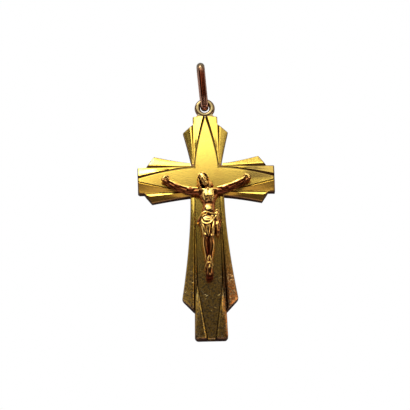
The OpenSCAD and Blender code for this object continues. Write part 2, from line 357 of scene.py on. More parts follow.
def bar_rows(over, under):
    """Surface points across a bar at each of its stations, side to side.

    A point is its distance along and across the arm, its height, its painted shade and its share of the rim.
    """
    length, end_round = over["length"], over["end_round"]
    reach = max(over["corner_r"], under["corner_r"], end_round)
    rows = []
    for u in [0.0] + stations(over["root"], length - reach, SPACING) + end_stations(length, reach):
        end = rim_share(length - u, end_round)
        row = []
        for side, arm in ((-1, under), (1, over)):
            s, b = ray_edge(arm, u), bar_edge(arm, u)
            outer = EDGE_ROUND * clamped((u - arm["tip"]) / EDGE_START)
            half = []
            for v, z, dark in half_bar(arm, u):
                height = rounded_off(rounded_off(z, b - v, outer), length - u, end_round)
                # the rounded end of the arm is painted dark as shade
                dark = max(dark, arm["end_dark"] * end ** 2)
                # the rounded edge at the ray's end takes little of the rim's brown tarnish and painted
                # shade, so it stays bright
                rim = max(rim_share(b - v, outer), end * (0.1 if v < s else 1.0))
                half.append((u, side * v, height, dark, rim))
            row += half[::side]
        rows.append(row)
    return rows


def wing_rows(arm):
    """Surface points across a wing at each of its stations, from under the bar to the outer edge."""
    corner, soft, last = arm["corner"], arm["wing_soft"], arm["tip"] - HAIR
    us = stations(arm["wing_root"], corner - soft, SPACING)
    us += stations(corner - soft, corner + soft, soft / 3) + stations(corner + soft, last, 0.2) + [last]
    rows = []
    for u in us:
        t = (u - arm["wing_root"]) / (arm["tip"] - arm["wing_root"])
        b, w = bar_edge(arm, u), wing_edge(arm, u)
        low = valley(arm, u)
        crest = min(b + HAIR + STEP_RUN * t, between(b, w, 0.6))
        top = low + WING_RISE * t
        out = PANEL - WING_SINK - WING_FALL * t
        band = min(arm["crest_band"] * t, 0.3 * (w - crest))
        tilt = arm["crest_slope"] * band
        slant = wing_slant(arm, u)
        edge = max(crest + band + 0.001, w - EDGE_ROUND / slant)
        # from under the bar, up the step to the crest, and over the narrow facet along it; the crease under
        # the bar and the step are painted dark as shade
        line = [
            (b - TUCK, low - TUCK, 1.0),
            (b, low - GROOVE, 1.0),
            (between(b, crest, 0.35), between(low - GROOVE, top, 0.35), 0.9),
            (between(b, crest, 0.9), between(low - GROOVE, top - max(0.0, tilt), 0.92), arm["wing_dark"]),
            (crest + 0.015 * t, top - max(0.0, tilt), 0.0),
            (crest + band, top + min(0.0, tilt), 0.0),
        ]
        start, start_z, _ = line[-1]
        full = wing_long_edge(arm, u)
        across = [between(start, edge, k) for k in (0.5, 1.0)]
        across += [between(edge, w, k) for k in (0.3, 0.55, 0.75, 0.9, 1.0)]
        line += [(v, between(start_z, out, (v - start) / (full - start)), 0.0) for v in across]
        row = []
        for v, z, dark in line:
            inside = (w - v) * slant
            rim = rim_share(inside, EDGE_ROUND)
            # the wing's rounded edge is painted dark as shade
            dark = max(dark, arm["wing_rim"] * rim ** 2)
            row.append((u, v, rounded_off(z, inside, EDGE_ROUND), dark, rim))
        rows.append(row)
    return rows


def relief(name, rows, turn, mirrored):
    """Closed solid between rows of surface points and the back, turned to its place on the cross."""
    rows = np.array(rows, float)
    top = rows[..., :3]
    m, n = top.shape[:2]
    back = top.copy()
    back[..., 2] = 0.0
    # the back is a little smaller than the lip above it, which rounds its edge
    lip = back.copy()
    lip[..., 2] = BACK_ROUND
    middle = (top[:, :1] + top[:, -1:]) / 2
    away = np.sign(back[..., 1] - middle[..., 1])
    back[:, (0, -1), 1] -= BACK_ROUND * away[:, (0, -1)]
    back[-1, :, 0] -= BACK_ROUND
    rim = [(0, j) for j in range(n)] + [(i, n - 1) for i in range(1, m)]
    rim += [(m - 1, j) for j in range(n - 2, -1, -1)] + [(i, 0) for i in range(m - 2, 0, -1)]
    points = np.array(list(top.reshape(-1, 3)) + list(back.reshape(-1, 3)) + [lip[i, j] for i, j in rim])
    under = m * n
    faces = []
    for i in range(m - 1):
        for j in range(n - 1):
            a, b, c, d = i * n + j, i * n + j + 1, (i + 1) * n + j + 1, (i + 1) * n + j
            faces += [(a, c, b), (a, d, c)]
            faces += [(a + under, b + under, c + under), (a + under, c + under, d + under)]
    count = len(rim)
    for k, here in enumerate(rim):
        there = rim[(k + 1) % count]
        a, b = here[0] * n + here[1], there[0] * n + there[1]
        la, lb = 2 * under + k, 2 * under + (k + 1) % count
        faces += [(a, b, lb), (a, lb, la), (la, lb, b + under), (la, b + under, a + under)]
    # each surface point keeps its painted shade and its share of the rim's brown, which is tarnish and
    # partly painted shade
    dark, side_wall = np.zeros(len(points)), np.ones(len(points))
    dark[:under] = rows[..., 3].ravel()
    side_wall[:under] = rows[..., 4].ravel()
    if mirrored:
        points[:, 1] *= -1
        faces = [f[::-1] for f in faces]
    angle = math.radians(turn)
    x, y = points[:, 0].copy(), points[:, 1].copy()
    points[:, 0] = x * math.cos(angle) - y * math.sin(angle)
    points[:, 1] = x * math.sin(angle) + y * math.cos(angle)
    return mesh_object(name, points, faces, (dark, side_wall, 0.0))


def prism(name, outline, low, high, wear_and_painted_light):
    """Straight-sided solid over an anticlockwise outline."""
    n = len(outline)
    points = [(x, y, z) for z in (low, high) for x, y in outline]
    faces = [tuple(range(n - 1, -1, -1)), tuple(range(n, 2 * n))]
    faces += [(k, (k + 1) % n, (k + 1) % n + n, k + n) for k in range(n)]
    return mesh_object(name, points, faces, wear_and_painted_light)


# Sweeps: Geometry Nodes trees that draw a section along a path

ARC_POINTS, WIRE_POINTS = 21, 32

def sweep_tree(name, section_inputs, make_section):
    """Tree that takes a path as its geometry and sweeps the section along it, seams closed."""
    tree = bpy.data.node_groups.new(name, "GeometryNodeTree")
    sockets = [("Path", "Geometry"), *((label, "Float") for label in section_inputs),
               ("Across", "Vector"), ("Metal", "Material")]
    for label, kind in sockets:
        tree.interface.new_socket(label, in_out="INPUT", socket_type="NodeSocket" + kind)
    tree.interface.new_socket("Swept", in_out="OUTPUT", socket_type="NodeSocketGeometry")
    given = add(tree, "NodeGroupInput")
    facing = add(tree, "GeometryNodeSetCurveNormal", {"mode": "FREE"},
                 {"Curve": given.outputs["Path"], "Normal": given.outputs["Across"]})
    section = make_section(tree, given)
    tube = add(tree, "GeometryNodeCurveToMesh", {}, {"Curve": facing.outputs[0], "Profile Curve": section})
    smooth_faces = add(tree, "GeometryNodeSetShadeSmooth", {}, {"Geometry": tube.outputs[0]})
    real = add(tree, "GeometryNodeRealizeInstances", {}, {"Geometry": smooth_faces.outputs[0]})
    metal_set = add(tree, "GeometryNodeSetMaterial", {},
                    {"Geometry": real.outputs[0], "Material": given.outputs["Metal"]})
    add(tree, "NodeGroupOutput", {}, {"Swept": metal_set.outputs[0]})
    return tree


def half_round_section(tree, given):
    """Arc over a flat back. Its radius is (half width squared + thickness squared) / twice the thickness."""
    value = {"width": given.outputs["Width"], "thick": given.outputs["Thickness"]}
    for name, operation, *inputs in (
        ("half", "MULTIPLY", "width", 0.5),
        ("square", "MULTIPLY", "half", "half"),
        ("both", "MULTIPLY_ADD", "thick", "thick", "square"),
        ("twice", "MULTIPLY", "thick", 2.0),
        ("radius", "DIVIDE", "both", "twice"),
        ("sine", "DIVIDE", "half", "radius"),
        ("angle", "ARCSINE", "sine"),
        ("first", "SUBTRACT", math.pi / 2, "angle"),
        ("sweep", "MULTIPLY", "angle", 2.0),
        ("drop", "SUBTRACT", "thick", "radius"),
    ):
        fixed = {i: v for i, v in enumerate(inputs) if not isinstance(v, str)}
        fed = {i: value[v] for i, v in enumerate(inputs) if isinstance(v, str)}
        value[name] = add(tree, "ShaderNodeMath", {"operation": operation, **fixed}, fed).outputs[0]
    arc = add(tree, "GeometryNodeCurveArc", {"mode": "RADIUS", "Resolution": ARC_POINTS},
              {"Radius": value["radius"], "Start Angle": value["first"], "Sweep Angle": value["sweep"]})
    shift = add(tree, "ShaderNodeCombineXYZ", {}, {"Y": value["drop"]})
    placed = add(tree, "GeometryNodeTransform", {},
                 {"Geometry": arc.outputs[0], "Translation": shift.outputs[0]})
    closed = add(tree, "GeometryNodeSetSplineCyclic", {"Cyclic": True}, {"Geometry": placed.outputs[0]})
    return closed.outputs[0]


def round_section(tree, given):
    wire = add(tree, "GeometryNodeCurvePrimitiveCircle", {"mode": "RADIUS", "Resolution": WIRE_POINTS},
               {"Radius": given.outputs["Radius"]})
    return wire.outputs[0]


def swept(name, path, across, tree, sizes, material=None):
    """Object with a plain mesh: a closed path in the cross's frame, swept by a tree."""
    curve = bpy.data.curves.new(name, "CURVE")
    curve.dimensions = "3D"
    spline = curve.splines.new("POLY")
    spline.points.add(len(path) - 1)
    placed = (np.asarray(path, float) + CROSSING) * MM
    spline.points.foreach_set("co", np.hstack([placed, np.ones((len(path), 1))]).ravel())
    spline.use_cyclic_u = True
    holder = linked(name, curve)
    modifier = holder.modifiers.new("sweep", "NODES")
    modifier.node_group = tree
    values = {**sizes, "Across": across, "Metal": material}
    for socket in tree.interface.items_tree:
        if socket.in_out == "INPUT" and values.get(socket.name) is not None:
            modifier[socket.identifier] = values[socket.name]
    mesh = plain_mesh(holder)
    bpy.data.objects.remove(holder)
    bpy.data.curves.remove(curve)
    mesh.name = name
    return linked(name, mesh)


EYELET = (0.0, 11.44, 0.95)
EYELET_WIRE, EYELET_HOLE = 0.43, 0.68    # radii of the wire and of the hole
RING_STEPS = 96


def make_eyelet():
    """Ring of round wire that lies level, with painted shade on its flanks."""
    radius = EYELET_HOLE + EYELET_WIRE
    path = [(EYELET[0] + radius * math.cos(a), EYELET[1] + radius * math.sin(a), EYELET[2])
            for a in (2 * math.pi * i / RING_STEPS for i in range(RING_STEPS))]
    tree = sweep_tree("round wire along a path", ["Radius"], round_section)
    ring = swept("eyelet", path, (0.0, 0.0, 1.0), tree, {"Radius": EYELET_WIRE * MM})
    places = places_of(ring.data, EYELET)
    # painted shade on the flanks, a little stronger on the outer one than on the inner one
    outward = np.hypot(places[:, 0], places[:, 1]) - radius
    flanks = np.maximum(0.95 * eased(outward, 0.12, 0.4), 0.8 * eased(-outward, 0.2, 0.42))
    keep_wear_and_painted_light(ring.data, 0.0, flanks, 1.0)
    return ring


# Solder at the top end: half widths at the plate and at the eyelet, then heights
SOLDER_WIDE, SOLDER_NARROW = 1.3, 1.0
SOLDER_LOW, SOLDER_HIGH = 0.6, 1.3


def make_cross():
    parts = []
    for over, under, turn, mirrored in (
        (STEM_RIGHT, STEM_LEFT, 270, False), (RIGHT_OVER, RIGHT_UNDER, 0, False),
        (LEFT_OVER, LEFT_UNDER, 180, True), (TOP, TOP, 90, False),
    ):
        parts.append(relief("bar", bar_rows(over, under), turn, mirrored))
        parts.append(relief("wing", wing_rows(over), turn, mirrored))
        parts.append(relief("wing", wing_rows(under), turn, not mirrored))
    # plain metal under the crossing and the roots of the wings
    low, high = -STEM_LEFT["wing_root"], TOP["wing_root"]
    foot_half, head_half = STEM_LEFT["wing_in"], TOP["wing_in"]
    block = [(-foot_half, low), (foot_half, low), (head_half, high), (-head_half, high)]
    parts.append(prism("block", block, 0.0, PANEL - BLOCK_SINK, (0.0, 1.0, 0.0)))
    parts.append(make_eyelet())
    y = TOP["length"]
    solder = [(-SOLDER_WIDE, y - 0.2), (SOLDER_WIDE, y - 0.2), (SOLDER_WIDE, y),
              (SOLDER_NARROW, y + 0.4), (-SOLDER_NARROW, y + 0.4), (-SOLDER_WIDE, y)]
    parts.append(prism("solder", solder, SOLDER_LOW, SOLDER_HIGH, (0.0, 0.0, 1.0)))
    plate = joined("struck_cross", parts)
    plate.data.set_sharp_from_angle(angle=math.radians(FACET_ANGLE))
    return plate


# Bail: half-round strip bent into a long loop, narrower at the eyelet, its lower leg flat on the sheet

BAIL_LENGTH = 7.62
NEAR_BEND, FAR_BEND = 0.95, 1.5
BAIL_WIDTH, BAIL_THICK = 1.16, 0.38
BAIL_REACH, BAIL_LEAN = 0.39, 4.1    # reach back from the eyelet's middle, and lean in degrees
BEND_STEPS = 48


def make_bail(material):
    """The loop is drawn in a plane of its own: along the sheet and up from it."""
    leg = BAIL_LENGTH - NEAR_BEND - FAR_BEND
    rise = 2 * math.asin((FAR_BEND - NEAR_BEND) / math.hypot(leg, FAR_BEND - NEAR_BEND))
    lean = math.radians(BAIL_LEAN)
    path = []
    for bend, centre, start, stop in (
        (FAR_BEND, leg, -math.pi / 2, math.pi / 2 + rise),
        (NEAR_BEND, 0.0, math.pi / 2 + rise, 1.5 * math.pi),
    ):
        for k in range(BEND_STEPS + 1):
            a = between(start, stop, k / BEND_STEPS)
            along = NEAR_BEND - BAIL_REACH + centre + (bend - BAIL_THICK) * math.cos(a)
            path.append((-along * math.sin(lean), EYELET[1] + along * math.cos(lean),
                         bend + (bend - BAIL_THICK) * math.sin(a)))
    tree = sweep_tree("half-round strip along a path", ["Width", "Thickness"], half_round_section)
    sizes = {"Width": BAIL_WIDTH * MM, "Thickness": BAIL_THICK * MM}
    loop = swept("bail_loop", path, (math.cos(lean), math.sin(lean), 0.0), tree, sizes, material)
    # the strip's long edges are painted paler: a painted reflection of the white sheet
    places = places_of(loop.data, (0.0, EYELET[1], 0.0))
    across = np.abs(places[:, 0] * math.cos(lean) + places[:, 1] * math.sin(lean))
    keep_wear_and_painted_light(loop.data, eased(across, BAIL_WIDTH / 2 - 0.22, BAIL_WIDTH / 2 - 0.06))
    return loop


# Cast figure

FAR_OFF = 9.0    # a distance past any that matters


class Wax:
    """A wax model as distances on a grid: forms are blended on, and hollows are cut with a soft edge."""

    def __init__(self, low, high, cell):
        self.low, self.cell = np.array(low, float), cell
        count = np.ceil((np.array(high) - self.low) / cell).astype(int) + 1
        self.field = np.full(count, FAR_OFF, np.float32)
        self.axes = [self.low[i] + cell * np.arange(count[i]) for i in range(3)]

    def window(self, points, margin):
        points = np.array(points, float)
        first = np.floor((points.min(0) - margin - self.low) / self.cell).astype(int)
        last = np.ceil((points.max(0) + margin - self.low) / self.cell).astype(int) + 1
        first, last = np.clip(first, 0, self.field.shape), np.clip(last, 0, self.field.shape)
        where = tuple(slice(a, b) for a, b in zip(first, last))
        x, y, z = (self.axes[i][where[i]].astype(np.float32) for i in range(3))
        return where, x[:, None, None], y[None, :, None], z[None, None, :]

    def put(self, where, d, k, cut):
        old = self.field[where]
        if not old.size:
            return
        if cut:
            h = np.maximum(k - np.abs(old + d), 0) / k
            self.field[where] = np.maximum(old, -d) + h * h * k / 4
        else:
            h = np.maximum(k - np.abs(old - d), 0) / k
            self.field[where] = np.minimum(old, d) - h * h * k / 4

    def strand(self, points, k=0.05, cut=False):
        """A smooth round strand through (x, y, z, radius) points."""
        run = flowing(points)
        widest = max(p[3] for p in run)
        where, x, y, z = self.window([p[:3] for p in run], widest + k + 3 * self.cell)
        nearest = np.full(np.broadcast(x, y, z).shape, FAR_OFF, np.float32)
        for p, q in zip(run, run[1:]):
            way = np.subtract(q[:3], p[:3])
            u, v, w = x - p[0], y - p[1], z - p[2]
            t = np.clip((u * way[0] + v * way[1] + w * way[2]) / max(float(way @ way), 1e-9), 0, 1)
            d = np.sqrt((u - t * way[0]) ** 2 + (v - t * way[1]) ** 2 + (w - t * way[2]) ** 2)
            np.minimum(nearest, d - (p[3] + (q[3] - p[3]) * t), out=nearest)
        self.put(where, nearest, k, cut)

    def ripple(self, centre, reach, way, pitch, height):
        """Waves pressed into the surface inside a soft ball round the centre."""
        where, x, y, z = self.window([centre], max(reach))
        u, v, w = ((x - centre[0]) / reach[0], (y - centre[1]) / reach[1], (z - centre[2]) / reach[2])
        inside = np.clip(1 - (u * u + v * v + w * w), 0, 1)
        wave = np.cos(2 * math.pi * way(x, y, z) / pitch)
        self.field[where] -= height * wave * inside ** 0.7

    def oval(self, centre, radii, turn=(0, 0, 0), k=0.1, cut=False):
        """Turned ellipsoid."""
        reach = max(radii) + k + 3 * self.cell
        where, x, y, z = self.window([centre], reach)
        m = turned(turn)
        u, v, w = x - centre[0], y - centre[1], z - centre[2]
        local = [m[0, i] * u + m[1, i] * v + m[2, i] * w for i in range(3)]
        k0 = np.sqrt(sum((local[i] / radii[i]) ** 2 for i in range(3)))
        k1 = np.sqrt(sum((local[i] / radii[i] ** 2) ** 2 for i in range(3)))
        self.put(where, k0 * (k0 - 1) / np.maximum(k1, 1e-6), k, cut)

    def flat_back(self):
        z = self.axes[2][None, None, :].astype(np.float32)
        self.field = np.maximum(self.field, -z)

    def mesh(self):
        grid = openvdb.FloatGrid(FAR_OFF)
        grid.copyFromArray(self.field)
        points, triangles, quads = grid.convertToPolygons(0.0, 0.0)
        faces = [tuple(f) for f in triangles.tolist()] + [tuple(f) for f in quads.tolist()]
        return self.low + self.cell * points, faces


def flowing(points, steps=4):
    """Points of a smooth curve through the given ones."""
    if len(points) < 3:
        return points
    p = np.array([points[0], *points, points[-1]], float)
    out = []
    for i in range(1, len(p) - 2):
        a, b, c, d = p[i - 1:i + 3]
        for t in np.arange(steps) / steps:
            out.append(0.5 * (2 * b + (c - a) * t + (2 * a - 5 * b + 4 * c - d) * t * t
                              + (3 * b - a - 3 * c + d) * t ** 3))
    return out + [p[-2]]


def turned(turn):
    """Matrix that turns about x, then y, then z, in degrees."""
    a, b, c = (math.radians(t) for t in turn)
    rx = np.array([[1, 0, 0], [0, math.cos(a), -math.sin(a)], [0, math.sin(a), math.cos(a)]])
    ry = np.array([[math.cos(b), 0, math.sin(b)], [0, 1, 0], [-math.sin(b), 0, math.cos(b)]])
    rz = np.array([[math.cos(c), -math.sin(c), 0], [math.sin(c), math.cos(c), 0], [0, 0, 1]])
    return rz @ ry @ rx


def torso(wax):
    # ribcage thrust forwards at its lower end, shoulder girdle, waist and hips
    wax.oval((0.14, -2.8, 0.62), (1.04, 1.3, 0.62), (-13, 7, -2), 0.25)
    wax.oval((0.1, -2.1, 0.56), (1.6, 0.44, 0.5), (0, 0, 2), 0.3)
    wax.strand([(-1.5, -2.3, 0.5, 0.3), (-0.98, -2.85, 0.45, 0.3), (-0.66, -3.6, 0.36, 0.26)], 0.35)
    wax.strand([(1.6, -2.25, 0.5, 0.3), (1.2, -2.85, 0.45, 0.3), (0.9, -3.6, 0.36, 0.26)], 0.35)
    wax.oval((0.18, -4.2, 0.34), (0.9, 1.4, 0.52), (0, 0, 2), 0.35)
    wax.oval((0.08, -5.4, 0.42), (1.02, 1.1, 0.62), (-6, 0, 4), 0.4)
    wax.oval((-0.15, -6.4, 0.4), (1.15, 0.9, 0.66), (0, 0, 4), 0.4)
    # breast muscles, drawn up towards the arms
    wax.oval((-0.26, -2.9, 1.02), (0.42, 0.72, 0.26), (-15, -24, 14), 0.2)
    wax.oval((0.56, -2.85, 1.06), (0.44, 0.76, 0.26), (-15, 14, -10), 0.2)
    # collar bones, the pit of the throat and the breastbone
    wax.strand([(-0.05, -2.08, 0.9, 0.06), (-0.6, -2.02, 0.9, 0.07), (-1.3, -2.05, 0.84, 0.07)], 0.16)
    wax.strand([(0.28, -2.08, 0.9, 0.06), (0.85, -2.0, 0.9, 0.07), (1.45, -2.02, 0.84, 0.07)], 0.16)
    wax.oval((0.12, -2.1, 1.08), (0.1, 0.12, 0.14), (0, 0, 0), 0.1, True)
    wax.strand([(0.12, -2.45, 1.28, 0.03), (0.13, -2.85, 1.42, 0.03), (0.13, -3.2, 1.5, 0.02)], 0.14, True)
    # ribs, then the hollow under their arch where the belly is drawn in
    wax.ripple((-0.72, -3.55, 0.7), (0.62, 0.7, 0.8), lambda x, y, z: y + 0.5 * x + 0.4 * z, 0.36, 0.014)
    wax.ripple((0.98, -3.55, 0.7), (0.62, 0.7, 0.8), lambda x, y, z: y - 0.5 * x + 0.4 * z, 0.36, 0.014)
    wax.oval((0.17, -4.2, 1.4), (0.4, 0.42, 0.46), (6, 0, 0), 0.12, True)
    # belly, its middle line, navel and the folds over the hips
    wax.oval((0.1, -5.15, 0.74), (0.44, 0.52, 0.3), (-14, 0, 0), 0.26)
    wax.strand([(0.17, -4.3, 0.94, 0.03), (0.1, -4.9, 1.16, 0.03)], 0.12, True)
    wax.oval((0.08, -5.15, 1.16), (0.07, 0.1, 0.1), (0, 0, 0), 0.06, True)
    wax.strand([(-0.5, -4.9, 0.98, 0.03), (-0.42, -5.5, 1.1, 0.04), (-0.2, -6.0, 1.14, 0.03)], 0.16, True)
    wax.strand([(0.68, -4.9, 0.98, 0.03), (0.6, -5.5, 1.1, 0.04), (0.4, -5.9, 1.14, 0.03)], 0.16, True)
    # neck
    wax.strand([(0.15, -2.2, 0.55, 0.44), (-0.25, -1.2, 0.72, 0.36)], 0.15)
    wax.strand([(-0.02, -2.1, 0.92, 0.05), (-0.45, -1.4, 1.04, 0.06)], 0.08)
    wax.strand([(0.25, -2.1, 0.92, 0.05), (0.15, -1.35, 1.0, 0.06)], 0.08)


# Points along each arm from shoulder to wrist: x, y, z and the arm's radius
LEFT_ARM = [
    (-1.5, -2.26, 0.58, 0.64), (-2.2, -2.19, 0.58, 0.64), (-3.0, -2.04, 0.57, 0.63),
    (-3.75, -1.81, 0.55, 0.57), (-4.6, -1.46, 0.55, 0.61), (-5.4, -1.02, 0.52, 0.55),
    (-6.0, -0.56, 0.48, 0.46),
]
RIGHT_ARM = [
    (1.6, -2.18, 0.58, 0.64), (2.3, -2.02, 0.58, 0.65), (3.05, -1.79, 0.58, 0.64),
    (3.8, -1.5, 0.56, 0.58), (4.6, -1.14, 0.56, 0.62), (5.3, -0.8, 0.53, 0.56), (5.75, -0.52, 0.5, 0.48),
]


def arms(wax):
    for side, run in ((-1, LEFT_ARM), (1, RIGHT_ARM)):
        # a ridge near the upper contour, and a face that slopes down from it to the lower one
        wax.strand([(x, y + 0.6 * r, z + 0.18, 0.36 * r) for x, y, z, r in run], 0.12)
        wax.strand([(x, y - 0.22 * r, z - 0.16, 0.78 * r) for x, y, z, r in run], 0.16)
        # shoulder cap, biceps with a groove along it, elbow and forearm muscle
        (sx, sy), (ax, ay), (bx, by), (ex, ey), (cx, cy), (dx, dy) = [p[:2] for p in run[:6]]
        wax.oval((sx + 0.15 * side, sy - 0.06, 0.62), (0.44, 0.38, 0.38), (0, 0, 8 * side), 0.18)
        mx, my = (ax + bx) / 2, (ay + by) / 2
        angle = math.degrees(math.atan2(by - ay, bx - ax))
        wax.oval((mx, my + 0.16, 0.84), (0.6, 0.22, 0.26), (0, 0, angle), 0.12)
        wax.oval((mx - 0.1 * side, my - 0.2, 0.66), (0.6, 0.16, 0.26), (0, 0, angle), 0.08)
        wax.oval((ex, ey + 0.44, 0.62), (0.14, 0.12, 0.16), (0, 0, angle), 0.08)
        angle = math.degrees(math.atan2(dy - cy, dx - cx))
        wax.oval((cx, cy + 0.2, 0.78), (0.6, 0.18, 0.24), (0, 0, angle), 0.1)
        wax.oval((cx - 0.1 * side, cy - 0.16, 0.62), (0.7, 0.16, 0.24), (0, 0, angle), 0.08)


def hand(wax, wrist, towards, side):
    """Open hand with its palm out and the fingers curled in a little."""
    wx, wy = wrist
    length = math.hypot(towards[0] - wx, towards[1] - wy)
    ex, ey = (towards[0] - wx) / length, (towards[1] - wy) / length
    nx, ny = -ey * side, ex * side   # towards the thumb, at the top

    def at(along, across, *rest):
        return (wx + ex * along + nx * across, wy + ey * along + ny * across, *rest)

    angle = math.degrees(math.atan2(ey, ex))
    wax.oval(at(0.34, 0.0, 0.5), (0.6, 0.58, 0.4), (0, 0, angle), 0.12)
    wax.oval(at(0.2, 0.3, 0.8), (0.32, 0.18, 0.16), (0, 0, angle + 20 * side), 0.08)
    wax.oval(at(0.24, -0.28, 0.78), (0.34, 0.17, 0.15), (0, 0, angle), 0.08)
    for i, reach in enumerate((0.26, 0.34, 0.32, 0.22)):
        v = 0.36 - 0.24 * i
        wax.strand([at(0.5, v * 0.95, 0.6, 0.15), at(0.56 + reach, v, 0.74, 0.15),
                    at(0.46 + reach, v * 0.95, 1.0, 0.13), at(0.28 + reach, v * 0.9, 1.04, 0.11)], 0.06)
    wax.strand([at(-0.02, 0.4, 0.6, 0.16), at(0.24, 0.56, 0.78, 0.16), at(0.5, 0.46, 0.96, 0.13)], 0.06)


def legs(wax):
    # thighs, knees bent forwards, shins
    wax.strand([(-0.62, -6.5, 0.55, 0.68), (-0.62, -7.6, 0.66, 0.6), (-0.55, -8.8, 0.84, 0.47),
                (-0.5, -9.6, 0.98, 0.4)], 0.18)
    wax.strand([(0.5, -6.5, 0.55, 0.66), (0.52, -7.7, 0.66, 0.58), (0.46, -8.9, 0.84, 0.46),
                (0.42, -9.8, 0.98, 0.4)], 0.18)
    wax.strand([(-0.5, -9.6, 0.98, 0.4), (-0.54, -10.5, 0.72, 0.43), (-0.46, -11.6, 0.52, 0.36),
                (-0.34, -12.7, 0.44, 0.28)], 0.12)
    wax.strand([(0.42, -9.8, 0.98, 0.4), (0.46, -10.7, 0.76, 0.43), (0.36, -11.8, 0.6, 0.36),
                (0.22, -12.8, 0.6, 0.28)], 0.12)
    wax.strand([(-0.05, -7.4, 0.5, 0.3), (-0.04, -9.6, 0.84, 0.28), (-0.05, -11.0, 0.66, 0.28),
                (-0.08, -12.4, 0.5, 0.2)], 0.1)
    # kneecaps and the hollows beside them
    for x, y in ((-0.5, -9.62), (0.43, -9.82)):
        wax.oval((x, y, 1.2), (0.22, 0.34, 0.14), (8, 0, 0), 0.16)
        for side in (-1, 1):
            wax.oval((x + 0.27 * side, y + 0.05, 1.32), (0.08, 0.3, 0.1), (0, 0, -6 * side), 0.16, True)
        wax.oval((x, y - 0.5, 1.16), (0.11, 0.18, 0.1), (0, 0, 0), 0.12)
    # shin edges, calves and the gap between the legs
    wax.strand([(-0.5, -10.1, 1.22, 0.07), (-0.42, -11.4, 0.88, 0.06), (-0.34, -12.3, 0.68, 0.05)], 0.16)
    wax.strand([(0.42, -10.3, 1.24, 0.07), (0.28, -11.6, 0.98, 0.06), (0.14, -12.4, 0.86, 0.05)], 0.16)
    wax.oval((-0.72, -10.7, 0.6), (0.22, 0.6, 0.3), (0, 0, -4), 0.12)
    wax.oval((0.62, -10.85, 0.62), (0.2, 0.6, 0.3), (0, 0, 8), 0.12)
    wax.strand([(-0.04, -9.5, 1.5, 0.05), (-0.04, -11.2, 1.24, 0.05), (-0.08, -12.0, 1.02, 0.03)],
               0.14, True)


def foot(wax, ankle, toes, z_ankle, z_toes, lean):
    """Foot pointing down, drawn from its ankle to its toes."""
    ax, ay = ankle
    dx, dy = toes[0] - ax, toes[1] - ay
    length = math.hypot(dx, dy)
    nx, ny = dy / length, -dx / length

    def at(along, across, *rest):
        return (ax + dx * along + nx * across, ay + dy * along + ny * across, *rest)

    def height(along):
        return between(z_ankle, z_toes, along)

    wax.strand([at(0, 0, z_ankle, 0.32), at(0.3, 0.02 * lean, height(0.2), 0.4),
                at(0.62, 0, height(0.6), 0.5), at(0.82, 0, z_toes, 0.48)], 0.1)
    for side in (-1, 1):
        wax.oval(at(0.05, 0.3 * side, z_ankle + 0.06), (0.14, 0.18, 0.16), (0, 0, 0), 0.06)
    for i, (r, far) in enumerate(((0.17, 0.98), (0.14, 1.0), (0.13, 0.99), (0.13, 0.97), (0.12, 0.94))):
        v = lean * (0.4 - 0.2 * i)
        wax.strand([at(0.74, v * 0.9, z_toes + 0.1, r * 0.9), at(0.5 * (0.74 + far), v, z_toes + 0.12, r),
                    at(far, v * 0.97, z_toes - 0.02, r)], 0.012)
        if 0 < i < 4:
            wax.strand([at(0.3, v * 0.3, height(0.3) + 0.33, 0.02), at(0.7, v * 0.9, z_toes + 0.34, 0.03)],
                       0.1)


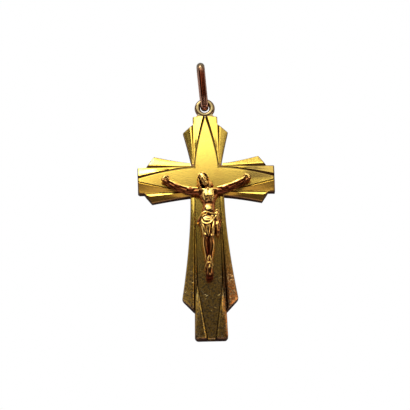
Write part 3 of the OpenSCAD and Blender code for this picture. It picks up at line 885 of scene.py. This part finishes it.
def cloth(wax):
    # the wrap round the hips and over the tops of the thighs, rising towards the knees
    wax.oval((-0.12, -7.0, 0.5), (1.34, 1.05, 0.76), (-8, 0, 12), 0.08)
    wax.oval((-0.12, -7.8, 0.62), (1.1, 1.0, 0.8), (-16, 0, 4), 0.16)
    wax.ripple((-1.1, -7.3, 0.7), (0.7, 1.0, 0.9), lambda x, y, z: y - 1.0 * x, 0.5, 0.035)
    wax.ripple((0.95, -7.3, 0.8), (0.6, 1.1, 0.9), lambda x, y, z: y + 1.5 * x, 0.6, 0.04)
    # rolled upper edge, low on the left hip and rising to the middle and the knot
    wax.strand([(-1.58, -7.1, 0.5, 0.13), (-1.3, -6.6, 0.95, 0.15), (-0.8, -5.98, 1.18, 0.15),
                (-0.25, -5.8, 1.26, 0.14), (0.35, -6.0, 1.26, 0.12), (0.85, -6.05, 1.1, 0.12),
                (1.25, -5.78, 0.9, 0.1)], 0.07)
    # the front fold, its curling left edge and the pleat across it
    wax.oval((-0.1, -6.98, 1.14), (0.84, 0.88, 0.42), (-16, 0, -6), 0.1)
    wax.strand([(-0.2, -6.2, 1.34, 0.09), (-0.72, -6.42, 1.34, 0.12), (-0.98, -6.95, 1.28, 0.13),
                (-0.84, -7.5, 1.38, 0.13), (-0.3, -7.78, 1.56, 0.12), (0.25, -7.66, 1.56, 0.11),
                (0.66, -7.15, 1.38, 0.1), (1.12, -6.4, 1.0, 0.08)], 0.07)
    wax.strand([(-0.5, -6.75, 1.48, 0.03), (-0.1, -7.05, 1.6, 0.04), (0.35, -6.9, 1.5, 0.03)], 0.14, True)
    # folds drawn down over each thigh and the tip that hangs between them
    wax.strand([(-0.98, -7.5, 1.2, 0.13), (-0.74, -8.15, 1.36, 0.14), (-0.5, -8.7, 1.4, 0.1),
                (-0.36, -9.15, 1.3, 0.05)], 0.08)
    wax.strand([(0.8, -7.3, 1.16, 0.14), (0.7, -8.0, 1.34, 0.16), (0.56, -8.7, 1.42, 0.13),
                (0.48, -9.25, 1.3, 0.06)], 0.08)
    wax.strand([(-0.06, -7.7, 1.14, 0.42), (-0.06, -8.4, 1.24, 0.38), (-0.04, -9.1, 1.32, 0.24),
                (-0.03, -9.7, 1.34, 0.08)], 0.08)
    wax.strand([(-0.22, -8.2, 1.58, 0.03), (-0.16, -8.8, 1.64, 0.03), (-0.12, -9.2, 1.6, 0.02)], 0.1, True)
    # knot and its hanging ends
    wax.oval((1.3, -5.8, 0.85), (0.28, 0.24, 0.3), (0, 0, 20), 0.05)
    wax.strand([(1.05, -5.72, 1.02, 0.1), (1.28, -5.48, 1.08, 0.13), (1.55, -5.5, 0.95, 0.13),
                (1.68, -5.75, 0.78, 0.1)], 0.05)
    wax.strand([(1.05, -5.98, 1.02, 0.09), (1.32, -6.08, 1.12, 0.12), (1.56, -6.0, 0.98, 0.11),
                (1.68, -5.82, 0.78, 0.08)], 0.05)
    wax.strand([(1.38, -6.0, 0.6, 0.24), (1.42, -7.0, 0.5, 0.3), (1.45, -8.2, 0.42, 0.32),
                (1.4, -9.1, 0.36, 0.26)], 0.05)
    folds = ((1.15, 1.12, -9.0, 0.76), (1.32, 1.34, -9.5, 0.8), (1.48, 1.56, -9.3, 0.7),
             (1.62, 1.74, -8.7, 0.46))
    for i, (x0, x1, y1, z) in enumerate(folds):
        run = []
        for j in range(7):
            t = j / 6
            sway = 0.06 * math.sin(2 * math.pi * (1.2 * t + 0.2 * i))
            run.append((between(x0, x1, t) + sway, between(-6.05, y1, t),
                        z + 0.16 * (1 - t) + 0.1 * math.sin(2 * math.pi * t * 2 + i),
                        (0.1 + 0.05 * math.sin(math.pi * t)) * (0.55 if j == 6 else 1)))
        wax.strand(run, 0.04)


# Corners of the boxes that the figure's body and head are shaped in, from the panel up
BODY_BOX = (-7.5, -17.6, -0.3), (7.3, 1.2, 2.3)
HEAD_BOX = (-2.1, -2.5, -0.2), (1.5, 0.95, 2.2)


def figure_body(cell):
    wax = Wax(*BODY_BOX, cell)
    torso(wax)
    arms(wax)
    hand(wax, (-5.95, -0.5), (-6.65, 0.02), -1)
    hand(wax, (5.7, -0.5), (6.38, -0.02), 1)
    legs(wax)
    foot(wax, (-0.32, -12.7), (0.04, -16.4), 0.42, 0.38, 1)
    foot(wax, (0.18, -12.8), (-0.06, -15.9), 0.6, 0.64, -1)
    # sinews spreading over the crossed ankles, and the head of the nail
    wax.strand([(-0.08, -12.7, 1.0, 0.1), (-0.3, -13.5, 1.06, 0.12), (-0.66, -14.5, 0.92, 0.1)], 0.04)
    wax.strand([(0.06, -12.7, 1.0, 0.1), (0.24, -13.5, 1.08, 0.11), (0.5, -14.3, 0.98, 0.1)], 0.04)
    wax.strand([(-0.42, -13.9, 1.0, 0.08), (-0.06, -13.8, 1.12, 0.12), (0.36, -13.9, 1.0, 0.08)], 0.04)
    wax.oval((0.04, -15.7, 1.02), (0.17, 0.14, 0.14), (0, 0, 0), 0.04)
    cloth(wax)
    wax.flat_back()
    return wax


# The head leans to the left and a little forwards. Its forms are drawn upright and then turned and scaled.
HEAD_CENTRE = (-0.62, -0.38, 1.04)
HEAD_TURN = (3, -2, 24)
HEAD_SIZE = 1.3


def figure_head(cell):
    wax = Wax(*HEAD_BOX, cell)
    figure_hair_and_face(wax)
    return wax


def figure_hair_and_face(wax):
    m = turned(HEAD_TURN)
    c = np.array(HEAD_CENTRE)

    def at(x, y, z):
        return tuple(c + m @ (HEAD_SIZE * np.array([x, y, z])))

    def run(points, k):
        wax.strand([at(*p[:3]) + (HEAD_SIZE * p[3],) for p in points], k)

    def form(centre, radii, k, cut=False):
        wax.oval(at(*centre), [HEAD_SIZE * r for r in radii], HEAD_TURN, k, cut)

    # skull and jaw, then cheeks, closed eyes in their hollows, brows and nose
    form((0, 0.16, -0.04), (0.5, 0.62, 0.58), 0.1)
    form((0, -0.3, 0.14), (0.37, 0.5, 0.4), 0.15)
    for s in (-1, 1):
        form((0.27 * s, -0.12, 0.36), (0.13, 0.12, 0.12), 0.1)
        form((0.185 * s, 0.01, 0.58), (0.12, 0.075, 0.11), 0.05, True)
        form((0.185 * s, -0.01, 0.465), (0.1, 0.06, 0.06), 0.025)
        run([(0.08 * s, 0.1, 0.55, 0.035), (0.3 * s, 0.11, 0.46, 0.03)], 0.06)
    run([(0, 0.08, 0.52, 0.045), (0, -0.22, 0.62, 0.07)], 0.05)
    for s in (-1, 1):
        form((0.065 * s, -0.25, 0.57), (0.05, 0.045, 0.055), 0.03)
    # lips, moustache and beard
    run([(-0.11, -0.42, 0.5, 0.03), (0, -0.41, 0.54, 0.035), (0.11, -0.42, 0.5, 0.03)], 0.03)
    run([(-0.09, -0.475, 0.5, 0.03), (0, -0.48, 0.54, 0.035), (0.09, -0.475, 0.5, 0.03)], 0.03)
    form((0, -0.66, 0.28), (0.3, 0.3, 0.26), 0.08)
    for s in (-1, 1):
        run([(0.02 * s, -0.34, 0.57, 0.04), (0.13 * s, -0.39, 0.53, 0.05),
             (0.22 * s, -0.52, 0.43, 0.04)], 0.03)
        for i in range(5):
            x = 0.07 * s * i
            run([(x, -0.58 + 0.035 * i, 0.5 - 0.05 * i, 0.055),
                 (x * 1.1, -0.78 + 0.02 * i, 0.42 - 0.04 * i, 0.06),
                 (x * 0.8, -0.98 + 0.05 * i, 0.3 - 0.02 * i, 0.03)], 0.02)
    # hair: a mass behind the head and on the shoulders
    form((0, 0.14, -0.14), (0.58, 0.64, 0.54), 0.04)
    wax.strand([(-0.75, -0.5, 0.6, 0.56), (-1.08, -1.5, 0.4, 0.34)], 0.12)
    wax.strand([(-0.42, -0.5, 0.6, 0.56), (0.42, -1.4, 0.42, 0.36)], 0.12)
    # waved locks in two layers that leave a middle parting
    radii = (0.05, 0.075, 0.085, 0.09, 0.1, 0.1, 0.095, 0.085, 0.05)
    for side, back, front in (
        (-1, (-1.52, -1.6, 0.42), (-0.84, -2.1, 1.0)), (1, (0.92, -1.4, 0.42), (0.3, -1.98, 1.02)),
    ):
        for i in range(13):
            f = i / 12
            under = i % 2
            depth = -0.42 + 0.76 * f - 0.03 * under
            lock = [
                at(0.03 * side, 0.73 - 0.05 * f, depth),
                at(0.3 * side, 0.66 - 0.12 * f, depth + 0.06),
                at((0.55 - 0.03 * under) * side, 0.3 - 0.08 * f, depth + 0.04),
                at(0.58 * side, -0.12, 0.12 * f + depth * 0.8),
            ]
            x0, y0, z0 = lock[-1]
            x1, y1, z1 = (between(a, b, f) for a, b in zip(back, front))
            y1 += 0.08 * math.sin(2.4 * i)
            for t in (0.2, 0.4, 0.6, 0.8, 1.0):
                swell = math.sin(math.pi * t)
                wave = 0.055 * math.cos(5.5 * t + 0.55 * i)
                lock.append((between(x0, x1, t) + wave + 0.08 * side * swell, between(y0, y1, t),
                             between(z0, z1, t) + 0.1 * swell - 0.05 * under))
            wax.strand([p + (r,) for p, r in zip(lock, radii)], 0.015)
    wax.flat_back()


def box_blur(a, r):
    """Mean of the grid over a cube that reaches r cells to each side."""
    for axis in range(3):
        pad = [(0, 0)] * 3
        pad[axis] = (r + 1, r)
        c = np.cumsum(np.pad(a, pad, mode="edge"), axis=axis, dtype=np.float32)
        n = a.shape[axis]
        hi = np.take(c, np.arange(2 * r + 1, 2 * r + 1 + n), axis=axis)
        lo = np.take(c, np.arange(0, n), axis=axis)
        a = (hi - lo) / (2 * r + 1)
    return a


def figure_wear_and_painted_light(places):
    """How far each point is painted pale, as wear and painted highlight, and dull brown, as skin and painted
    shade.
    """
    x, y, z = places[:, 0], places[:, 1], places[:, 2]
    # high places are painted pale, partly as wear and partly as painted highlight; the legs under the cloth
    # are left dull, and the ankles take a painted highlight
    high = eased(z, 0.78, 1.12)
    below_cloth = eased(y, -8.8, -9.8)
    ankles = eased(np.abs(y + 13.7), 1.2, 0.7)
    rubbed_and_highlit = high * np.maximum(1 - 0.8 * below_cloth, ankles)
    # painted highlight on the outer contours of the shins, which come closer together towards the ankles
    contour = eased(np.abs(x) + 0.106 * (-9.6 - y), 0.72, 0.84)
    contour = contour * eased(y, -9.0, -9.6) * eased(y, -13.4, -12.8)
    rubbed_and_highlit = np.maximum(rubbed_and_highlit, 0.6 * contour)
    # on the arms a painted highlight along the upper contour
    across = np.zeros(len(x))
    for side, run in ((-1, LEFT_ARM), (1, RIGHT_ARM)):
        where = side * x > 0
        middle = np.interp(side * x, [side * p[0] for p in run], [p[1] for p in run])
        radius = np.interp(side * x, [side * p[0] for p in run], [p[3] for p in run])
        across[where] = ((y - middle) / radius)[where]
    arm = eased(np.abs(x), 1.1, 1.7) * eased(y, -4.0, -3.3)
    hands = eased(np.abs(x), 5.5, 6.0)
    line = np.maximum(0.85 * eased(across, 0.42, 0.7), 0.25 * hands * high)
    rubbed_and_highlit = rubbed_and_highlit * (1 - arm) + line * arm
    # dull brown on the legs and arms, partly skin and partly painted shade; the right arm gets more of it
    # than the left as painted shade
    dull_and_shaded = np.maximum(below_cloth * (1 - ankles), np.where(x < 0, 0.25, 0.6) * arm) * (1 - contour)
    return rubbed_and_highlit, dull_and_shaded


FIGURE_SEAT = PANEL + 0.02                                  # just above the panel
BODY_CELL, HEAD_CELL, HOLLOW_CELL = 0.053, 0.034, 0.06    # grid steps of the waxes
HOLLOW_REACH = (2, 5)                                     # cells over which a hollow is looked for


def make_figure():
    """Body and head from their waxes, joined, with the depth of each point's hollow for its painted shade
    and tarnish.
    """
    pieces = []
    for name, wax in (("body", figure_body(BODY_CELL)), ("head", figure_head(HEAD_CELL))):
        points, faces = wax.mesh()
        pieces.append(mesh_object(name, points + (0.0, 0.0, FIGURE_SEAT), faces))
    figure = joined("cast_figure", pieces)
    # a point with much metal round it lies in a hollow, which is painted dark
    both = figure_body(HOLLOW_CELL)
    figure_hair_and_face(both)
    inside = np.clip(0.5 - both.field / both.cell, 0, 1)
    # the panel counts as metal, so the figure is painted dark where it meets the plate: painted shade
    inside[:, :, both.axes[2] < 0] = 1.0
    places = places_of(figure.data, (0.0, 0.0, FIGURE_SEAT))
    cells = np.rint((places - both.low) / both.cell).astype(int)
    cells = np.clip(cells, 0, np.array(inside.shape) - 1)
    filled = np.zeros(len(cells))
    for reach in HOLLOW_REACH:
        soft = box_blur(box_blur(inside, reach), reach)
        filled += soft[cells[:, 0], cells[:, 1], cells[:, 2]] / len(HOLLOW_REACH)
    keep_wear_and_painted_light(figure.data, filled, *figure_wear_and_painted_light(places))
    return figure


# Materials

# Pattern sizes are in millimetres. The real scuffs of worn gold are a few hundredths wide. They are drawn
# a little wider than a pixel of the picture, which is 0.15, because finer ones don't show.
STRUCK_SCUFF, CAST_SCUFF, STRIP_SCUFF = 0.16, 0.2, 0.25
STRUCK_DEPTH, CAST_DEPTH, STRIP_DEPTH = 0.006, 0.003, 0.0012
MOTTLE, PATCH = 0.32, 2.2         # blotches at the foot of the stem, and patches of warmer gold
SCRATCH_GROOVE = 1.5              # depth of a scratch, in depths of the scuffs
SCRATCH_GAP = 1.5                 # between the scratches that cross at the foot of the stem
SCRATCH_BEND, DRIFT = 0.9, 1.6    # length over which a scratch bends, and how far it strays


def new_metal(name, scuff):
    """Material, its tree, the points of the piece, the shares of its wear and painted light, and its scuffs.
    """
    material = bpy.data.materials.new(name)
    material.use_nodes = True
    tree = material.node_tree
    tree.nodes.clear()
    place = add(tree, "ShaderNodeTexCoord").outputs["Object"]
    wear_and_painted_light = add(tree, "ShaderNodeAttribute", {"attribute_name": "wear_and_painted_light"})
    worn_and_painted = add(tree, "ShaderNodeSeparateColor", {}, {"Color": wear_and_painted_light.outputs["Color"]}).outputs
    grain = add(tree, "ShaderNodeTexNoise", {"Scale": 1 / (scuff * MM), "Detail": 3.0}, {"Vector": place})
    return material, tree, place, worn_and_painted, grain.outputs["Fac"]


def from_crossing(tree, place):
    """The points of the piece in millimetres from the crossing of the bars."""
    centred = add(tree, "ShaderNodeMapping", {"Location": tuple(-CROSSING), "Scale": (1 / MM,) * 3},
                  {"Vector": place})
    return add(tree, "ShaderNodeSeparateXYZ", {}, {"Vector": centred.outputs[0]}).outputs


def spread(tree, *bands):
    """Product of bands, each a socket or a soft step along one.

    A step holds its socket, where it starts and stops, and its values there unless they are 0 and 1.
    """
    share = None
    for band in bands:
        if isinstance(band, tuple):
            value, start, stop, *ends = band
            before, after = ends or (0.0, 1.0)
            step = {"interpolation_type": "SMOOTHSTEP", "From Min": start, "From Max": stop,
                    "To Min": before, "To Max": after}
            band = add(tree, "ShaderNodeMapRange", step, {"Value": value}).outputs[0]
        if share is not None:
            band = add(tree, "ShaderNodeMath", {"operation": "MULTIPLY"}, {0: share, 1: band}).outputs[0]
        share = band
    return share


def finish(tree, base, coats, rough, height, depth):
    """Metal of a base colour under coats of other colours, each with the share of it that shows."""
    colour = None
    for tint, amount in coats:
        coat = add(tree, "ShaderNodeMix", {"data_type": "RGBA", 6: linear(base), 7: linear(tint)},
                   {0: amount})
        if colour is not None:
            tree.links.new(colour, coat.inputs[6])
        colour = coat.outputs[2]
    bump = add(tree, "ShaderNodeBump", {"Strength": 1.0, "Distance": depth * MM}, {"Height": height})
    shader = add(tree, "ShaderNodeBsdfPrincipled", {"Metallic": 1.0},
                 {"Base Color": colour, "Roughness": rough, "Normal": bump.outputs["Normal"]})
    add(tree, "ShaderNodeOutputMaterial", {}, {"Surface": shader.outputs["BSDF"]})


def satin_gold():
    """Yellow gold, struck in a die and worn satin, so that fine scuffs spread what it mirrors.

    Its shares hold painted shade in the pressed lines, on the steps, at the feet of the pleats and on the
    rounded ends and wing edges (red), the brown of the rounded rims and side walls, which is tarnish and
    partly painted shade (green), and the grey skin of the solder and the eyelet (blue). The foot of the stem
    is the most worn.
    """
    material, tree, place, worn_and_painted, grain = new_metal("struck yellow gold", STRUCK_SCUFF)
    way = from_crossing(tree, place)
    patches, mottle, bend = (
        add(tree, "ShaderNodeTexNoise", {"Scale": 1 / (size * MM), "Detail": detail}, {"Vector": place})
        for size, detail in ((PATCH, 4.0), (MOTTLE, 2.0), (SCRATCH_BEND, 2.0))
    )
    # scratches are the borders of cells whose points stray, so that they bend
    drift = add(tree, "ShaderNodeVectorMath", {"operation": "SCALE", "Scale": DRIFT * MM},
                {0: bend.outputs["Color"]})
    strayed = add(tree, "ShaderNodeVectorMath", {"operation": "ADD"}, {0: place, 1: drift.outputs[0]})
    cells = add(tree, "ShaderNodeTexVoronoi",
                {"feature": "DISTANCE_TO_EDGE", "Scale": 1 / (SCRATCH_GAP * MM)},
                {"Vector": strayed.outputs[0]})
    foot = spread(tree, (way["Y"], -9.0, -18.0))
    scratch = spread(tree, (cells.outputs["Distance"], 0.05, 0.0),
                     (patches.outputs["Fac"], 0.5, 0.62), foot)
    right_end_shade = spread(tree, (way["X"], 5.0, 6.8, 0.0, 0.74), (way["Y"], -0.5, 0.2),
                      (way["Y"], 2.3, 1.9))
    rough = spread(tree, (grain, 0.3, 0.8, 0.18, 0.26))
    # solder and eyelet are smoother than the plate, and a scratch is a groove
    rough = add(tree, "ShaderNodeMath", {"operation": "MULTIPLY_ADD", 1: -0.08}, {0: worn_and_painted["Blue"], 2: rough})
    height = add(tree, "ShaderNodeMath", {"operation": "MULTIPLY_ADD", 1: -SCRATCH_GROOVE},
                 {0: scratch, 2: grain})
    coats = [
        # warmer patches, flecks all over, and painted shade on the upper half of the right arm's outer part
        ("#E0AC4C", spread(tree, (patches.outputs["Fac"], 0.45, 0.75, 0.0, 0.5))),
        ("#B8823C", spread(tree, (grain, 0.6, 0.75, 0.0, 0.35))),
        ("#7C6238", right_end_shade),
        # orange stain, grey-brown blotches, pale specks and scratches at the foot of the stem
        ("#C8843E", spread(tree, foot, (way["X"], 1.5, 2.4))),
        ("#7A6A48", spread(tree, (mottle.outputs["Fac"], 0.46, 0.58, 0.0, 0.8), foot)),
        ("#D8C490", spread(tree, (grain, 0.5, 0.62, 0.0, 0.75), foot)),
        ("#F4DC9C", scratch),
        # solder and eyelet skin; rims, brown with tarnish and partly painted shade; painted shade in the
        # pressed lines, on the steps and at the ends
        ("#7E6A46", worn_and_painted["Blue"]),
        ("#86604A", worn_and_painted["Green"]),
        ("#301C0E", worn_and_painted["Red"]),
    ]
    finish(tree, "#F6CE5C", coats, rough.outputs[0], height.outputs[0], STRUCK_DEPTH)
    return material


def cast_gold():
    """Red gold, cast in a mould and polished by hand. Its high places are painted pale yellow, partly as
    wear and partly as painted highlight.

    Its shares are how far a point lies in a hollow (red), how far it is painted pale (green) and how far it
    is painted dull brown (blue). Hollows are painted darkest, as painted shade with some tarnish, and are
    least smooth.
    """
    material, tree, _, worn_and_painted, grain = new_metal("cast red gold", CAST_SCUFF)
    hollow = worn_and_painted["Red"]
    # dull brown, partly skin and partly painted shade; pale gold, partly wear and partly painted highlight;
    # darkest brown in hollows, painted shade with some tarnish
    coats = [("#70361F", worn_and_painted["Blue"]), ("#F4C66C", worn_and_painted["Green"]),
             ("#54200F", spread(tree, (hollow, 0.42, 0.6)))]
    rough = spread(tree, (hollow, 0.42, 0.7, 0.1, 0.28))
    finish(tree, "#A8683A", coats, rough, grain, CAST_DEPTH)
    return material


def strip_gold():
    """Red gold, drawn to a half-round strip and polished, so that it mirrors more sharply than the rest.

    It is paler near the eyelet, its edges (red) are painted paler as a painted reflection, and its far bend
    is painted a pale grey-gold as a painted highlight. Its very dark red base is partly painted shade.
    """
    material, tree, place, worn_and_painted, grain = new_metal("drawn red gold strip", STRIP_SCUFF)
    way = from_crossing(tree, place)
    near, far = EYELET[1], EYELET[1] + NEAR_BEND + BAIL_LENGTH - 1.2
    # dark flecks, paler near the eyelet, painted reflection along the edges and a painted highlight at the
    # far bend
    coats = [("#4E2012", spread(tree, (grain, 0.45, 0.7))),
             ("#B07A5E", spread(tree, (way["Y"], near + 1.9, near + 0.9))),
             ("#B48A78", worn_and_painted["Red"]),
             ("#7C7054", spread(tree, (way["Y"], far - 2.6, far + 0.2)))]
    rough = spread(tree, (grain, 0.3, 0.8, 0.12, 0.2))
    # the very dark red base is red gold with painted shade, for the dark room that the polished strip
    # mirrors
    finish(tree, "#5E2A16", coats, rough, grain, STRIP_DEPTH)
    return material


def dress(obj, material):
    obj.data.materials.clear()
    obj.data.materials.append(material)


# Sheet and light

SHEET_HALF = 0.6
SHEET_GIVE = 0.02 * MM    # so far it gives way under the pendant, so that the two surfaces never coincide


def make_floor():
    """Matt white paper. The camera sees it burnt out to plain white, and the metal mirrors it as grey."""
    mesh = bpy.data.meshes.new("white_sheet")
    r, z = SHEET_HALF, -SHEET_GIVE
    corners = [(-r, -r, z), (r, -r, z), (r, r, z), (-r, r, z)]
    mesh.from_pydata(corners, [], [(0, 1, 2, 3)])
    sheet = linked("white_sheet", mesh)
    paper = bpy.data.materials.new("white matt paper")
    paper.use_nodes = True
    tree = paper.node_tree
    tree.nodes.clear()
    seen = add(tree, "ShaderNodeLightPath").outputs["Is Camera Ray"]
    white = add(tree, "ShaderNodeEmission", {"Color": linear("#FFFFFF"), "Strength": 1.0})
    matt = add(tree, "ShaderNodeBsdfDiffuse", {"Color": linear("#9C9C9C")})
    both = add(tree, "ShaderNodeMixShader", {}, {0: seen, 1: matt.outputs[0], 2: white.outputs[0]})
    add(tree, "ShaderNodeOutputMaterial", {}, {"Surface": both.outputs[0]})
    dress(sheet, paper)


def area_light(name, place, target, size, radiance, colour="#FFFFFF", turn=0):
    """Soft panel of light, placed in the cross's frame, with the radiance that a mirror shows of it."""
    data = bpy.data.lights.new(name, "AREA")
    data.shape = "RECTANGLE"
    data.size, data.size_y = size[0] * MM, size[1] * MM
    data.energy = radiance * math.pi * data.size * data.size_y
    data.color = linear(colour)[:3]
    light = linked(name, data)
    light.location = (Vector(place) + Vector(CROSSING)) * MM
    away = Vector(place) - Vector(target)
    aimed = away.to_track_quat("Z", "Y").to_matrix() @ Matrix.Rotation(math.radians(turn), 3, "Z")
    light.rotation_euler = aimed.to_euler()
    light.visible_camera = False


ROOM_DIM = 0.11    # brightness of the room outside its band


def make_room():
    """Dim room with a brighter band round it, brightest beyond the head of the cross and at both sides."""
    world = bpy.data.worlds.new("studio")
    bpy.context.scene.world = world
    world.use_nodes = True
    tree = world.node_tree
    place = add(tree, "ShaderNodeTexCoord").outputs["Generated"]
    way = add(tree, "ShaderNodeSeparateXYZ", {}, {"Vector": place}).outputs
    out = add(tree, "ShaderNodeMath", {"operation": "ABSOLUTE"}, {0: way["X"]}).outputs[0]
    far = spread(tree, (way["Y"], 0.0, 0.6, 0.05, 1.0))
    side = spread(tree, (out, 0.75, 0.98, 0.0, 0.8))
    where = add(tree, "ShaderNodeMath", {"operation": "MAXIMUM"}, {0: far, 1: side}).outputs[0]
    glow = spread(tree, (way["Z"], 0.42, 0.12, 0.0, 1.5), where)
    tint = add(tree, "ShaderNodeMix", {"data_type": "RGBA", 6: linear("#C6B0B8"), 7: linear("#FFFFFF")},
               {0: spread(tree, (glow, 0.0, 0.3))})
    strength = add(tree, "ShaderNodeMath", {"operation": "ADD", 1: ROOM_DIM}, {0: glow})
    background = tree.nodes["Background"]
    tree.links.new(strength.outputs[0], background.inputs["Strength"])
    tree.links.new(tint.outputs[2], background.inputs["Color"])


def make_light():
    make_room()
    # a softbox beyond the head of the cross, brightest in its middle, which the upper facets mirror
    area_light("softbox_core", (-19, 55, 39.5), (-19, 55, 0), (46, 60), 2.5, "#F2FFFA", turn=6)
    area_light("softbox_middle", (0, 50.4, 40), (0, 50.4, 0), (70, 61), 1.05, "#F2FFFA", turn=9)
    area_light("softbox_edge", (6, 51, 40.5), (6, 51, 0), (76, 70), 1.15, turn=9)
    # a weak card for the outward slopes on the left
    area_light("left_card", (-47, -4, 27), (-3, -16, 0), (13, 32), 0.32, "#FFEEE4")
    # small cards for the tips of the side arms
    area_light("left_tip_card", (-13.5, 13.5, 40), (-13.5, 13.5, 0), (6, 7), 1.8)
    area_light("right_tip_card", (14.5, 13.5, 40), (14.5, 13.5, 0), (6, 7), 1.8)
    # a stronger card on the right, for the stem
    area_light("right_card_near", (47, -5, 27), (3, -18, 0), (13, 22), 1.9, "#FFE0CC")
    # a low light from the foot, for the slopes that face it
    area_light("front_low", (0, -74, 30), (0, -8, 0), (90, 34), 0.86, "#DCC2D4")
    area_light("right_card_far", (42, 27, 30), (4, 10, 0), (16, 18), 0.6)
    # a strong window behind the softbox, for the glints on what slopes away from the camera
    area_light("window", (-34, 78, 36), (-34, 78, 0), (56, 40), 12.0)
    # a faint fill from the camera's side
    area_light("front_fill", (0, -30, 92), (0, 0, 0), (120, 24), 0.56, "#FFE4D4")


make_camera()
make_floor()
make_light()
bpy.context.scene.view_settings.view_transform = "Standard"

cross = make_cross()
dress(cross, satin_gold())
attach(cross, "root")
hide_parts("cross")

bail = make_bail(strip_gold())
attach(bail, "root")
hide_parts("bail")

figure = make_figure()
dress(figure, cast_gold())
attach(figure, "root")
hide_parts("corpus")
